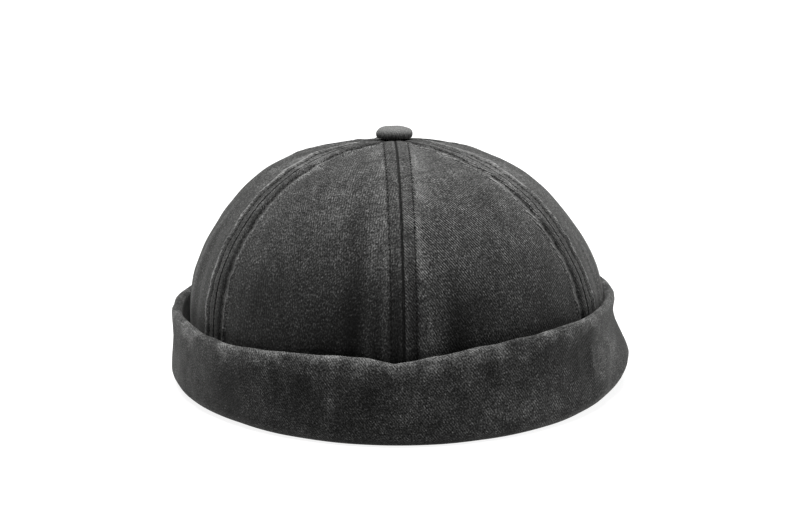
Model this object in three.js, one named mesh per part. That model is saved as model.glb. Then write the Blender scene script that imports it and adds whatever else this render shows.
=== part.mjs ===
// A brimless docker cap: six sewn cloth panels, a covered button on top and a turned-up cuff.
// Millimetres, +Z up. The cap rests on its rim at z = 0, with its opening's centre at the origin.
// The front seam faces -Y, and +X is the wearer's left.
import * as THREE from 'three';

// Crown, measured on the outside of the cloth at its widest line.
const crownHalfWidth = 84.5;
const crownHalfDepth = 92.5;
const crownWidestHeight = 26.5;
const crownOffset = -1.5; // the crown's middle from the rim's, as the cuff flares on the wearer's left
const domeHeight = 73;
const domeSquareness = 2.17;
const apexTilt = 6.5; // degrees that the top leans to the back
const rimFlare = 2.5; // how far the crown opens out between its widest line and the rim

// Cloth and seams.
const clothWall = 1.5;
const pieceGap = 0.3;
const seamAllowance = 0.9; // extra cloth pressed open behind each seam
const ribHalfWidth = 5; // from a seam to its topstitching
const ribShoulder = 1.4; // width over which the raised band falls off
const ribLift = 0.6;
const seamRoll = 1; // width over which a panel's edge rolls into the seam

// Cuff.
const cuffHeight = 36;
const cuffStandOff = 2.5; // from the crown's widest line out to the cuff's folded top
const cuffBelly = 1.5;
const foldHollow = 1; // between the two layers under the fold along the top
const rimHollow = 2.1; // between the two layers at the rim
const rimRollRadius = 3.5;
const rimTuck = 2.4; // how far in under the hidden layer the rim's roll may start
const hemHeight = 5; // where the cuff's hidden inner layer ends

// Covered button with its shank and the plate that holds it from inside.
const buttonRadius = 7.5;
const buttonHeight = 4.9;
const shankRadius = 1.8;
const plateRadius = 5.5;
const plateThickness = 0.8;
const shankClearance = 0.5;

// The seams where they reach the rim, as azimuths in degrees from the front towards +X. lean is the
// turn that a seam has made by the time it reaches the button. Each panel runs from its seam to the next.
const seams = [
  { panel: 'front_left_panel', azimuth: -1, lean: 0 },
  { panel: 'side_left_panel', azimuth: 64, lean: -8 },
  { panel: 'back_left_panel', azimuth: 122, lean: -2 },
  { panel: 'back_right_panel', azimuth: 180, lean: 0 },
  { panel: 'side_right_panel', azimuth: 238, lean: 0 },
  { panel: 'front_right_panel', azimuth: 296.5, lean: -4 },
];

// Soft forms of the worn cloth. Azimuths are degrees from the front towards +X, and reach is a half-width
// in degrees. from and to are shares of the way from apex to rim, and lift is a share of crownSwell.
const crownSwell = 1.6;
const crownForms = [
  { name: 'right_shoulder', azimuth: -98, reach: 46, from: 0.06, to: 0.5, lift: 1 },
  { name: 'left_flank', azimuth: 84, reach: 34, from: 0.45, to: 1, lift: 0.8 },
  { name: 'fold_right_of_front_seam', azimuth: -14, reach: 8, from: 0.4, to: 1, lift: -0.5 },
  { name: 'fold_left_of_front_seam', azimuth: 12, reach: 8, from: 0.5, to: 1, lift: -0.45 },
  { name: 'left_facet', azimuth: 92, reach: 24, from: 0.25, to: 0.62, lift: -0.45 },
  { name: 'back_hollow', azimuth: 152, reach: 20, from: 0.4, to: 0.95, lift: -0.5 },
];

// The cuff round the head. height, standOff, hollow, roll and belly are shares of cuffHeight,
// cuffStandOff, rimHollow, rimRollRadius and cuffBelly, and belly swells the wall halfway up.
const cuffSections = [
  { azimuth: -180, height: 0.98, standOff: 1, hollow: 1, roll: 1, belly: 0.3 },
  { azimuth: -140, height: 0.92, standOff: 1.05, hollow: 0.9, roll: 1, belly: 0 },
  { azimuth: -105, height: 0.88, standOff: 1.3, hollow: 0.6, roll: 2, belly: -0.1 },
  { azimuth: -78, height: 0.91, standOff: 1.26, hollow: 0.4, roll: 3, belly: -0.2 },
  { azimuth: -54, height: 0.885, standOff: 1, hollow: 0.3, roll: 2.6, belly: 0.4 },
  { azimuth: -31, height: 0.95, standOff: 0.9, hollow: 0.6, roll: 1.4, belly: 0.5 },
  { azimuth: -13, height: 0.975, standOff: 1, hollow: 1.1, roll: 1, belly: 0.3 },
  { azimuth: -3, height: 0.895, standOff: 0.75, hollow: 1.25, roll: 1, belly: 0.1 },
  { azimuth: 7, height: 0.985, standOff: 0.95, hollow: 1.2, roll: 1, belly: 0.4 },
  { azimuth: 20, height: 1.06, standOff: 1, hollow: 0.8, roll: 1.2, belly: 0.3 },
  { azimuth: 40, height: 1.095, standOff: 0.9, hollow: 0.4, roll: 1.6, belly: 0.1 },
  { azimuth: 66, height: 1.08, standOff: 0.6, hollow: 0.8, roll: 3.6, belly: -0.6 },
  { azimuth: 90, height: 1.055, standOff: 0.55, hollow: 2.5, roll: 5.2, belly: -1.3 },
  { azimuth: 122, height: 0.98, standOff: 0.8, hollow: 1.6, roll: 1.7, belly: -0.3 },
  { azimuth: 152, height: 0.97, standOff: 1.05, hollow: 1, roll: 1, belly: 0.2 },
];

// How finely the curved cloth is faceted.
const domeRows = 11;
const skirtRows = 3;
const middleColumns = 6;
const cuffStations = 72;
const wallShares = [0.3, 0.65]; // rows of the cuff's wall between its rim and its fold
const rollSteps = 3;
const foldSteps = 4;
const innerSteps = 2;
const buttonSides = 24;

const degrees = Math.PI / 180;
const domeShare = 0.78; // where the widest line lies, as a share of the way from apex to rim
const rimHeight = clothWall + pieceGap; // the crown's edge stands on the cuff's foot
const slopeStep = 0.002; // for slopes and lengths worked out from two near points
const tableLean = 0.35; // how much a value in the cuff's table leans towards the rows beyond its own two

const cloth = new THREE.MeshStandardMaterial({ color: 0x3a3a3b, roughness: 0.95, metalness: 0 });
const cuffCloth = new THREE.MeshStandardMaterial({ color: 0x404041, roughness: 0.95, metalness: 0 });
const buttonCloth = new THREE.MeshStandardMaterial({ color: 0x565657, roughness: 0.95, metalness: 0 });

function smooth(t) {
  const s = Math.min(1, Math.max(0, t));
  return s * s * (3 - 2 * s);
}

// A bump that is 1 at the middle and 0 at reach.
function bump(distance, reach) {
  return smooth(1 - Math.abs(distance) / reach);
}

function turnBetween(a, b) {
  return ((((a - b) % 360) + 540) % 360) - 180;
}

// Unit direction out of the crown in plan, at an azimuth in radians.
function planNormal(azimuth) {
  const across = crownHalfDepth * Math.sin(azimuth);
  const along = -crownHalfWidth * Math.cos(azimuth);
  return new THREE.Vector3(across, along, 0).normalize();
}

// The crown's widest line as seen from above, carried to any height.
function planPoint(azimuth, height) {
  return new THREE.Vector3(crownHalfWidth * Math.sin(azimuth), -crownHalfDepth * Math.cos(azimuth), height);
}

// The crown's cloth before seams and folds, at a share of the way from apex to rim.
function crownPoint(azimuth, share) {
  if (share > domeShare) {
    const down = (share - domeShare) / (1 - domeShare);
    const height = THREE.MathUtils.lerp(crownWidestHeight, rimHeight, down);
    return planPoint(azimuth, height).addScaledVector(planNormal(azimuth), rimFlare * down * down);
  }
  const climb = (1 - share / domeShare) * Math.PI / 2;
  const across = Math.cos(climb) ** (2 / domeSquareness);
  const up = Math.sin(climb) ** (2 / domeSquareness);
  const point = planPoint(azimuth, 0).multiplyScalar(across).setZ(domeHeight * up);
  point.applyAxisAngle(new THREE.Vector3(1, 0, 0), -apexTilt * degrees * up);
  point.z += crownWidestHeight;
  return point;
}

function crownNormal(azimuth, share) {
  const around = crownPoint(azimuth + slopeStep, share).sub(crownPoint(azimuth - slopeStep, share));
  const above = crownPoint(azimuth, share - slopeStep);
  const down = crownPoint(azimuth, Math.min(1, share + slopeStep)).sub(above);
  return down.cross(around).normalize();
}

// How far a soft form lifts the cloth at a place.
function formLift(azimuth, share) {
  let lift = 0;
  for (const form of crownForms) {
    const along = bump(share - (form.from + form.to) / 2, (form.to - form.from) / 2);
    lift += crownSwell * form.lift * along * bump(turnBetween(azimuth / degrees, form.azimuth), form.reach);
  }
  return lift;
}

// Millimetres of cloth for each radian of azimuth.
function clothPerRadian(azimuth, share) {
  const near = crownPoint(azimuth - slopeStep, share);
  return crownPoint(azimuth + slopeStep, share).distanceTo(near) / (2 * slopeStep);
}

// A closed surface from rings of points: each ring has the same number, and the last joins the first
// where loop is true. Without loop, the first and last rings are capped as strips of quads.
function ringSolid(rings, loop) {
  const size = rings[0].length;
  const positions = rings.flat().flatMap((p) => [p.x, p.y, p.z]);
  const index = [];
  const quad = (a, b, c, d) => index.push(a, c, b, a, d, c);
  const lastRing = loop ? rings.length : rings.length - 1;
  for (let i = 0; i < lastRing; i += 1) {
    const here = i * size;
    const next = ((i + 1) % rings.length) * size;
    for (let j = 0; j < size; j += 1) {
      const k = (j + 1) % size;
      quad(here + j, here + k, next + k, next + j);
    }
  }
  if (!loop) {
    const end = (rings.length - 1) * size;
    for (let j = 0; j < size / 2 - 1; j += 1) {
      quad(size - 1 - j, size - 2 - j, j + 1, j);
      quad(end + j, end + j + 1, end + size - 2 - j, end + size - 1 - j);
    }
  }
  const geometry = new THREE.BufferGeometry();
  geometry.setAttribute('position', new THREE.Float32BufferAttribute(positions, 3));
  geometry.setIndex(index);
  geometry.computeVertexNormals();
  return geometry;
}

function seamAzimuth(seam, share) {
  return (seam.azimuth + seam.lean * (1 - share)) * degrees;
}

// Columns across a panel at one row: azimuth, and how much of the seam's raised band shows there.
function panelColumns(firstSeam, lastSeam, share) {
  const leftSeam = seamAzimuth(firstSeam, share);
  const width = THREE.MathUtils.euclideanModulo(seamAzimuth(lastSeam, share) - leftSeam, 2 * Math.PI);
  const rightSeam = leftSeam + width;
  const halfSpan = width / 2;
  const plan = [
    { distance: pieceGap / 2, most: 0.2, lift: 0, allowance: 1 },
    { distance: seamRoll, most: 0.45, lift: 1, allowance: 1 },
    { distance: ribHalfWidth, most: 0.8, lift: 1, allowance: 1 },
    { distance: ribHalfWidth + ribShoulder, most: 0.92, lift: 0, allowance: 0 },
  ];
  const side = (seam, sense) => plan.map((column) => {
    const perRadian = clothPerRadian(seam, share);
    const turn = Math.min(column.distance / perRadian, column.most * halfSpan);
    return { azimuth: seam + sense * turn, lift: column.lift, allowance: column.allowance };
  });
  const left = side(leftSeam, 1);
  const right = side(rightSeam, -1).reverse();
  const start = left[left.length - 1].azimuth;
  const end = right[0].azimuth;
  const middle = [];
  for (let i = 1; i <= middleColumns; i += 1) {
    const azimuth = THREE.MathUtils.lerp(start, end, i / (middleColumns + 1));
    middle.push({ azimuth, lift: 0, allowance: 0 });
  }
  return [...left, ...middle, ...right];
}

// Shares of the way from apex to rim at which a panel has its rows.
function panelRows() {
  const tipRadius = shankRadius + shankClearance;
  const tipClimb = Math.acos((tipRadius / crownHalfWidth) ** (domeSquareness / 2));
  const tipShare = domeShare * (1 - tipClimb / (Math.PI / 2));
  const rows = [];
  for (let i = 0; i <= domeRows; i += 1) {
    rows.push(THREE.MathUtils.lerp(tipShare, domeShare, i / domeRows));
  }
  for (let i = 1; i <= skirtRows; i += 1) {
    rows.push(THREE.MathUtils.lerp(domeShare, 1, i / skirtRows));
  }
  return rows;
}

function panelGeometry(firstSeam, lastSeam) {
  const rings = panelRows().map((share) => {
    const outer = [];
    const inner = [];
    for (const column of panelColumns(firstSeam, lastSeam, share)) {
      const base = crownPoint(column.azimuth, share);
      const normal = crownNormal(column.azimuth, share);
      if (share === 1) {
        normal.copy(planNormal(column.azimuth));
      }
      const form = formLift(column.azimuth, share);
      outer.push(base.clone().addScaledVector(normal, form + ribLift * column.lift));
      inner.push(base.clone().addScaledVector(normal, form - clothWall - seamAllowance * column.allowance));
    }
    return [...outer, ...inner.reverse()];
  });
  return ringSolid(rings, false);
}

// A value from the cuff's table at an azimuth in degrees, on a smooth closed curve.
function cuffValue(azimuth, column) {
  const count = cuffSections.length;
  const turn = turnBetween(azimuth, 0);
  const i = cuffSections.findLastIndex((row) => row.azimuth <= turn);
  const rowAt = (k) => cuffSections[(k + count) % count];
  const span = (turnBetween(rowAt(i + 1).azimuth, rowAt(i).azimuth) + 360) % 360;
  const t = ((turnBetween(turn, rowAt(i).azimuth) + 360) % 360) / span;
  const [a, b, c, d] = [i - 1, i, i + 1, i + 2].map((k) => rowAt(k)[column]);
  const lean = ((c - a) * (1 - t) - (d - b) * t) / 2;
  return (1 - smooth(t)) * b + smooth(t) * c + tableLean * t * (1 - t) * lean;
}

// Outline of the cuff in one upright plane: x is the distance out, y the height. It is a foot under
// the crown's edge, a rolled rim, the outer wall, the fold along the top and a hidden layer behind.
function cuffOutline(azimuth) {
  const hemOut = rimFlare + ribLift + pieceGap;
  const hemOuter = hemOut + clothWall;
  const footIn = rimFlare - clothWall - seamAllowance;
  const foldRadius = clothWall + foldHollow / 2;
  const topOut = cuffStandOff * cuffValue(azimuth, 'standOff') + 2 * foldRadius;
  const bottomOut = hemOuter + rimHollow * cuffValue(azimuth, 'hollow') + clothWall;
  const roll = clothWall + (rimRollRadius - clothWall) * cuffValue(azimuth, 'roll');
  const rollOut = Math.min(roll, bottomOut - hemOut + rimTuck);
  const footOut = Math.max(bottomOut - rollOut, hemOut); // the foot's top stays flat under the crown's edge
  const belly = cuffBelly * cuffValue(azimuth, 'belly');
  const foldUp = cuffHeight * cuffValue(azimuth, 'height') - foldRadius;
  const points = [];
  const add = (out, up) => points.push(new THREE.Vector2(out, up));
  const arc = (out, up, across, high, from, to, steps) => {
    for (let i = 0; i <= steps; i += 1) {
      const angle = THREE.MathUtils.lerp(from, to, i / steps) * degrees;
      add(out + across * Math.cos(angle), up + high * Math.sin(angle));
    }
  };
  const addWall = (share, inset) => {
    const swell = belly * Math.sin(Math.PI * share);
    const out = THREE.MathUtils.lerp(bottomOut, topOut, smooth(share)) + swell - inset;
    add(out, THREE.MathUtils.lerp(roll, foldUp, share));
  };
  add(footIn, 0);
  arc(bottomOut - rollOut, roll, rollOut, roll, -90, 0, rollSteps);
  wallShares.forEach((share) => addWall(share, 0));
  arc(topOut - foldRadius, foldUp, foldRadius, foldRadius, 0, 180, foldSteps);
  add(hemOut, hemHeight);
  add(hemOuter, hemHeight);
  arc(topOut - foldRadius, foldUp, foldRadius - clothWall, foldRadius - clothWall, 180, 0, innerSteps);
  wallShares.toReversed().forEach((share) => addWall(share, clothWall));
  arc(footOut, roll, bottomOut - clothWall - footOut, roll - clothWall, 0, -90, innerSteps);
  add(footIn, clothWall);
  return points;
}

function cuffGeometry() {
  const rings = [];
  for (let i = 0; i < cuffStations; i += 1) {
    const turn = (i / cuffStations) * 360;
    const azimuth = turn * degrees;
    const normal = planNormal(azimuth);
    rings.push(cuffOutline(turn).map((p) => planPoint(azimuth, p.y).addScaledVector(normal, p.x)));
  }
  return ringSolid(rings, true);
}

// The button turns about its own axis, with y = 0 at the crown's cloth surface.
function buttonGeometry() {
  const underside = ribLift + pieceGap;
  const plateTop = -(clothWall + seamAllowance + pieceGap + plateRadius ** 2 / (2 * domeHeight));
  const dome = [
    { out: 0.4, up: 0.975 },
    { out: 0.68, up: 0.89 },
    { out: 0.88, up: 0.74 },
    { out: 0.985, up: 0.5 },
    { out: 1, up: 0.28 },
    { out: 0.95, up: 0.08 },
    { out: 0.84, up: 0 },
  ];
  const profile = [
    new THREE.Vector2(0, underside + buttonHeight),
    ...dome.map((p) => new THREE.Vector2(p.out * buttonRadius, underside + p.up * buttonHeight)),
    new THREE.Vector2(shankRadius, underside),
    new THREE.Vector2(shankRadius, plateTop),
    new THREE.Vector2(plateRadius, plateTop),
    new THREE.Vector2(plateRadius, plateTop - plateThickness),
    new THREE.Vector2(0, plateTop - plateThickness),
  ];
  return new THREE.LatheGeometry(profile.reverse(), buttonSides);
}

const cap = new THREE.Group();
cap.position.x = crownOffset;

seams.forEach((seam, i) => {
  const panel = new THREE.Mesh(panelGeometry(seam, seams[(i + 1) % seams.length]), cloth);
  panel.name = seam.panel;
  cap.add(panel);
});

const cuff = new THREE.Mesh(cuffGeometry(), cuffCloth);
cuff.name = 'turned_up_cuff';
cap.add(cuff);

// The lathe turns about Y, so it is stood up first and then leant back with the crown's top.
const buttonPlace = new THREE.Group();
buttonPlace.position.copy(crownPoint(0, 0));
buttonPlace.rotation.x = -apexTilt * degrees;
const button = new THREE.Mesh(buttonGeometry(), buttonCloth);
button.name = 'top_button';
button.rotation.x = Math.PI / 2;
buttonPlace.add(button);
cap.add(buttonPlace);

export default cap;
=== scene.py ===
import math

import bmesh
import bpy
import numpy as np
from mathutils import Matrix, Vector


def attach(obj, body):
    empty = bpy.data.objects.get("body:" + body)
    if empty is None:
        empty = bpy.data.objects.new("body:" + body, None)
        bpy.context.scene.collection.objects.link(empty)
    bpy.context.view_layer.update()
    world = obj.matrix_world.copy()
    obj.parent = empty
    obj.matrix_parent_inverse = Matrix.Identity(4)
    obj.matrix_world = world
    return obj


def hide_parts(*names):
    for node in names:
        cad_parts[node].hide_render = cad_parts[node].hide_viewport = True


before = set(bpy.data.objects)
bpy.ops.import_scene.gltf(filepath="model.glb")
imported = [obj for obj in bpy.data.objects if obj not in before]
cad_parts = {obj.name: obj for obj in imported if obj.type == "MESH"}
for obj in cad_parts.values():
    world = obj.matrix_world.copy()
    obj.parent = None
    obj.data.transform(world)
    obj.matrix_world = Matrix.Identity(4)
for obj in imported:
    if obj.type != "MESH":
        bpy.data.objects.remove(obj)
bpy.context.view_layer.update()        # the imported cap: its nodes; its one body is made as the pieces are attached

# A brimless docker cap of washed cotton twill: six panels with topstitched seams,
# a turned-up cuff and a covered button. Shapes are worked out in millimetres.
mm = 0.001
uvPerMm = 0.01  # the cloth's UV map counts 100 mm as 1
scene = bpy.context.scene
print("stage: frame loaded,", len(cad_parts), "nodes")


# Small tools for smooth forms
def smooth(t):
    t = np.clip(t, 0, 1)
    return t * t * (3 - 2 * t)


def bump(distance, reach):
    return smooth(1 - np.abs(distance) / reach)


def bell(distance, width):
    return np.exp(-(distance / width) ** 2)


def turnBetween(a, b):
    return (a - b + 180) % 360 - 180


def lerp(a, b, t):
    return a + (b - a) * t


waveCount = 9  # waves that add up to each soft random field
waveLengths = (0.7, 1.5)  # the shortest and longest of them, as shares of the length asked for
wavePeak = 1.6  # how far such a sum usually reaches


def waves(points, length, seed):
    # a soft random field of about -1 to 1, whose swells are about length apart
    draw = np.random.default_rng(seed)
    total = np.zeros(points.shape[:-1])
    for _ in range(waveCount):
        heading = draw.normal(size=points.shape[-1])
        heading /= np.linalg.norm(heading)
        speed = 2 * math.pi / (length * draw.uniform(*waveLengths))
        total += np.sin(points @ heading * speed + draw.uniform(0, 2 * math.pi))
    return total / math.sqrt(waveCount / 2) / wavePeak


def wavesOver(along, across, length, seed):
    return waves(np.stack([along, across], -1), length, seed)


def swell(place, field):
    # field holds the height of the swells, their length and their seed
    height, length, seed = field
    return height * waves(place, length, seed)


def unit(vectors):
    return vectors / np.linalg.norm(vectors, axis=-1, keepdims=True)


# Crown: its dome leans back towards the top, and below its widest line it opens out to the rim
crown = {
    "halfWidth": 84.5, "halfDepth": 92.5, "widestHeight": 26.5, "offset": -1.5,
    "domeHeight": 73.0, "squareness": 2.17, "tilt": 6.5, "rimFlare": 2.5,
    "rimHeight": 1.8, "widestShare": 0.78, "tipShare": 0.028,
    "wall": 1.25, "columns": 124, "rows": 150, "swells": [(0.3, 42, 11), (0.09, 13, 12)],
}

# The seams at the rim, in degrees from the front towards +X, and how far each turns by the button.
# Each panel runs on to the next seam. It is cut from the cloth at an angle of its own, and its wales
# show as clearly as "ribbed" says. The front and back seams are pressed flat. The side seams are
# gathered into ridges, which are as light as "ridges" says before and after the seam, from wear and
# a painted highlight.
seams = [
    {"panel": "front_left_panel", "azimuth": -1, "lean": 0, "shape": "pressed",
     "cut": 0, "ribbed": 1, "ridges": (1, 1)},
    {"panel": "side_left_panel", "azimuth": 66.4, "lean": -13.4, "shape": "gathered",
     "cut": 8, "ribbed": 0.9, "ridges": (0.8, 1.7)},
    {"panel": "back_left_panel", "azimuth": 122, "lean": -2, "shape": "gathered",
     "cut": -6, "ribbed": 0.9, "ridges": (1, 1)},
    {"panel": "back_right_panel", "azimuth": 180, "lean": 0, "shape": "pressed",
     "cut": 5, "ribbed": 0.9, "ridges": (1, 1)},
    {"panel": "side_right_panel", "azimuth": 238, "lean": 0, "shape": "gathered",
     "cut": 18, "ribbed": 0.5, "ridges": (1, 1)},
    {"panel": "front_right_panel", "azimuth": 297, "lean": 0, "shape": "gathered",
     "cut": 16, "ribbed": 0.3, "ridges": (2.1, 0.9)},
]

# How a sewn seam stands up from the cloth, as widths and heights in mm, and how it is coloured: light on
# its ridges and lips from wear, with a painted highlight on the ridges, painted shade along its middle
# valley and its stitch grooves, and dark along its band
pressedSeam = {
    "bandLift": 0.6, "bandFall": 2.4, "valleyDepth": 0.3, "valleyWidth": 0.6,
    "grooveDepth": 0.42, "grooveWidth": 0.36, "ridgeLift": 0.24, "ridgeOut": 1.7, "ridgeWidth": 1.1,
    "ridgeWearAndHighlight": 0.24, "lightLip": 0.16, "valleyShade": 2.4,
    "stitchShade": 0.6, "stitchWidth": 0.3, "darkBand": 0.1,
}
gatheredSeam = {
    "bandLift": 0.5, "bandFall": 3.2, "valleyDepth": 0.35, "valleyWidth": 0.5,
    "grooveDepth": 0.55, "grooveWidth": 1.3, "ridgeLift": 0.5, "ridgeOut": 3.0, "ridgeWidth": 0.85,
    "ridgeWearAndHighlight": 0.56, "lightLip": 0.34, "valleyShade": 0.9,
    "stitchShade": 0.62, "stitchWidth": 1.25, "darkBand": 0.16,
}
seamShapes = {"pressed": pressedSeam, "gathered": gatheredSeam}

# What all seams share: where the stitches and the allowance inside lie, how the columns of squares
# are spaced, how a seam narrows towards the button, and how uneven and puckered it is
sewing = {
    "stitchOut": 5.0, "stitchShare": 0.8, "allowance": 0.7, "allowanceOut": 1.2, "allowanceFall": 0.6,
    "insideLine": 0.4, "insideLineWidth": 0.5, "finelySpaced": 10.5, "finestShare": 0.6, "fineShare": 0.64,
    "fullWidth": 7, "narrowest": 0.3, "unevenLength": 11, "unevenGroove": 0.4, "unevenRidge": 0.5,
    "pucker": 0.22, "puckerLength": 6.5, "puckerSlant": 0.35, "puckerOut": 0.8, "puckerWidth": 2.4,
}

# And how their wear and painted light and shade vary: in patches along the ridges, in blots along the
# stitch shade, less on the ridges near the button, and a little in a halo outside them
seamWearAndShade = {
    "patchLevel": 0.9, "patchSwing": 0.3, "patchLength": 16, "blotSwing": 0.45, "blotLength": 7,
    "ridgeAtTop": 0.55, "ridgeGain": 0.45, "ridgeReach": 0.5, "lipOut": 1.1, "lipWidth": 0.5,
    "lineWidth": 0.36, "halo": 0.12, "haloOut": 3.5, "haloWidth": 3.5, "haloLost": 0.7,
}

# The crown pales from "from" mm above the rim upwards, partly washed out and partly painted top light, and a
# little just above the cuff too, painted light in the cuff's shadow
fadingAndLight = {"from": 30, "reach": 78, "gain": 0.6, "level": 0.29, "footGain": 0.1, "footReach": 14}

# Soft forms, each as (azimuth, reach, from, to, lift): the first two in degrees, then a stretch
# between the apex (0) and the rim (1), and the lift in mm
crownForms = [
    (-98, 46, 0.06, 0.5, 1.6),
    (84, 34, 0.45, 1, 1.28),
    (-14, 8, 0.4, 1, -0.8),
    (12, 8, 0.5, 1, -0.72),
    (92, 24, 0.25, 0.62, -0.72),
    (152, 20, 0.4, 0.95, -0.8),
    (-17.5, 2.6, 0.15, 0.7, -0.3),
    (-77, 4, 0.25, 1, -0.6),
    (-84, 4, 0.35, 1, 0.4),
    (73, 3.5, 0.35, 1, -0.5),
    (79, 4, 0.3, 1, 0.35),
]

# Pale (plus) and dark (minus) marks on the crown, as (azimuth, reach, from, to, paling): partly washed-out
# and dark patches of the cloth, partly painted light and shade, with highlights on ridges, shade in dents
# and creases and low by the cuff, and light towards the right side
crownMarksAndShade = [
    (-9.5, 3.5, 0.05, 0.42, 0.12),
    (-6.3, 1.6, 0.4, 1, 0.15),
    (-8.2, 1.5, 0.5, 1, -0.16),
    (-10.8, 1.8, 0.48, 1, 0.3),
    (2.4, 1.7, 0.5, 1.1, -0.34),
    (0, 0.8, 0.3, 1.1, 0.22),
    (-3, 2, 0.5, 1.1, -0.2),
    (12, 9, 0, 0.32, 0.3),
    (8, 3.5, 0.12, 0.42, 0.24),
    (1.5, 3, 0.04, 0.6, 0.2),
    (-4, 2.6, 0.14, 0.36, 0.26),
    (-4, 3, 0.4, 1, -0.14),
    (5.5, 2.6, 0.3, 1, 0.28),
    (0, 8, 0.6, 1, -0.24),
    (-15, 4, 0.34, 1.1, -0.5),
    (-21, 11, 0.36, 1.1, -0.22),
    (18, 9, 0.45, 1.1, -0.2),
    (58, 9, 0.04, 0.48, 0.4),
    (-62, 11, 0.06, 0.34, 0.24),
    (14, 6, 0.08, 0.42, 0.16),
    (-10, 24, 0.48, 1.1, -0.28),
    (37, 5, 0.1, 0.32, 0.18),
    (-68, 10, 0.1, 0.36, 0.16),
    (-17.5, 2, 0.25, 0.65, -0.2),
    (13, 6, 0.52, 1, -0.46),
    (35, 6, 0.28, 0.46, -0.14),
    (-25, 8, 0.62, 1, -0.16),
    (-38, 16, 0.36, 1.1, -0.18),
    (45, 12, 0.58, 1, -0.16),
    (-53, 8, 0.04, 0.4, 0.1),
    (42, 9, 0.04, 0.26, 0.12),
    (69, 16, 0.04, 0.48, 0.28),
    (51, 6, 0.16, 0.5, 0.16),
    (-77, 9, 0.1, 0.42, 0.34),
    (-66, 6, 0.14, 0.34, 0.16),
    (50.5, 4, -0.04, 0.46, 0.62),
    (38, 14, 0.66, 0.98, 0.44),
    (-36, 14, 0.68, 0.94, 0.14),
    (5, 7, 0.5, 0.72, -0.14),
    (65, 4.5, -0.04, 0.3, 0.3),
    (55, 3, 0.22, 0.58, 0.28),
    (65, 3.5, 0.38, 0.68, -0.22),
    (76, 6, 0.2, 0.5, 0.2),
    (70, 13, 0.58, 0.9, 0.16),
    (-57, 9, 0.04, 0.36, 0.2),
    (-11, 13, 0.27, 0.46, -0.18),
    (37, 5, 0.29, 0.46, -0.2),
    (-45, 5, 0.44, 0.8, -0.15),
    (-12, 12, 0.5, 0.74, -0.14),
    (14.5, 4, 0.48, 1.1, -0.24),
    (20, 10, 0.5, 0.78, -0.12),
    (8.5, 3.5, 0.42, 1.1, 0.22),
    (55, 3, 0.52, 0.8, -0.22),
    (30, 26, 0.5, 1.1, -0.12),
    (-30, 30, 0.5, 0.84, -0.05),
    # narrow streaks near the sides: painted highlights on the ridges and painted shade in the creases beside
    # them
    (-84, 1.8, 0.25, 1.1, 0.55),
    (-80.5, 1.5, 0.3, 1.1, -0.5),
    (-88.5, 1.8, 0.2, 1.1, -0.5),
    (-75, 2, 0.3, 0.9, -0.35),
    (76, 1.6, 0.3, 1.1, 0.5),
    (79.5, 1.5, 0.3, 1.1, -0.45),
    (84, 1.8, 0.25, 1.1, 0.5),
    (88, 1.8, 0.25, 1.1, -0.45),
    (128, 5, 0.15, 0.8, 0.25),
    (150, 14, 0.45, 1, -0.2),
    (186, 4, 0.1, 0.95, 0.25),
    (206, 12, 0.5, 1, -0.2),
    (231, 5, 0.15, 0.8, 0.25),
    (262, 12, 0.4, 0.9, -0.12),
]


def planNormal(azimuth):
    a = np.radians(azimuth)
    return unit(np.stack([crown["halfDepth"] * np.sin(a), -crown["halfWidth"] * np.cos(a), 0 * a], -1))


def planPoint(azimuth, height):
    a = np.radians(azimuth)
    x = crown["halfWidth"] * np.sin(a) + crown["offset"]
    return np.stack([x, -crown["halfDepth"] * np.cos(a), height + 0 * a], -1)


def crownPoint(azimuth, share):
    azimuth, share = np.broadcast_arrays(azimuth, share)
    a = np.radians(azimuth)
    widest = crown["widestShare"]
    climb = np.where(share < widest, (1 - share / widest) * math.pi / 2, 0)
    across = np.cos(climb) ** (2 / crown["squareness"])
    up = np.sin(climb) ** (2 / crown["squareness"])
    down = np.clip((share - widest) / (1 - widest), 0, 1)
    y = -crown["halfDepth"] * across * np.cos(a)
    z = crown["domeHeight"] * up
    lean = np.radians(crown["tilt"]) * up
    place = np.stack([
        crown["halfWidth"] * across * np.sin(a) + crown["offset"],
        y * np.cos(lean) + z * np.sin(lean),
        z * np.cos(lean) - y * np.sin(lean) + lerp(crown["widestHeight"], crown["rimHeight"], down),
    ], -1)
    return place + planNormal(azimuth) * (crown["rimFlare"] * down ** 2)[..., None]


# A direction on the crown is measured over this many degrees to each side and this much up and down
turnStep = 0.1
shareStep = 0.002


def roundCrown(azimuth, share):
    return crownPoint(azimuth + turnStep, share) - crownPoint(azimuth - turnStep, share)


def crownNormal(azimuth, share):
    up = crownPoint(azimuth, share - shareStep) - crownPoint(azimuth, np.minimum(1, share + shareStep))
    return unit(np.cross(roundCrown(azimuth, share), up))


def mmPerDegree(azimuth, share):
    return np.linalg.norm(roundCrown(azimuth, share), axis=-1) / (2 * turnStep)


def seamAzimuth(seam, share):
    return seam["azimuth"] + seam["lean"] * (1 - share)


def tableSum(rows, azimuth, along):
    total = 0 * azimuth
    for place, reach, start, end, amount in rows:
        near = bump(turnBetween(azimuth, place), reach)
        total = total + amount * near * bump(along - (end + start) / 2, (end - start) / 2)
    return total


def panelSpan(panel, share):
    first, last = seams[panel], seams[(panel + 1) % len(seams)]
    return (seamAzimuth(last, share) - seamAzimuth(first, share)) % 360


def panelMiddle(panel):
    return seams[panel]["azimuth"] + panelSpan(panel, 1) / 2


def lengthsOf(path):
    return np.concatenate([[0], np.cumsum(np.linalg.norm(np.diff(path, axis=0), axis=-1))])


def alongPanel(panel, share):
    # length of cloth from the rim up the panel's middle, in mm
    shares = np.linspace(1, crown["tipShare"], 200)
    return np.interp(-share, -shares, lengthsOf(crownPoint(panelMiddle(panel), shares)))


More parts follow.
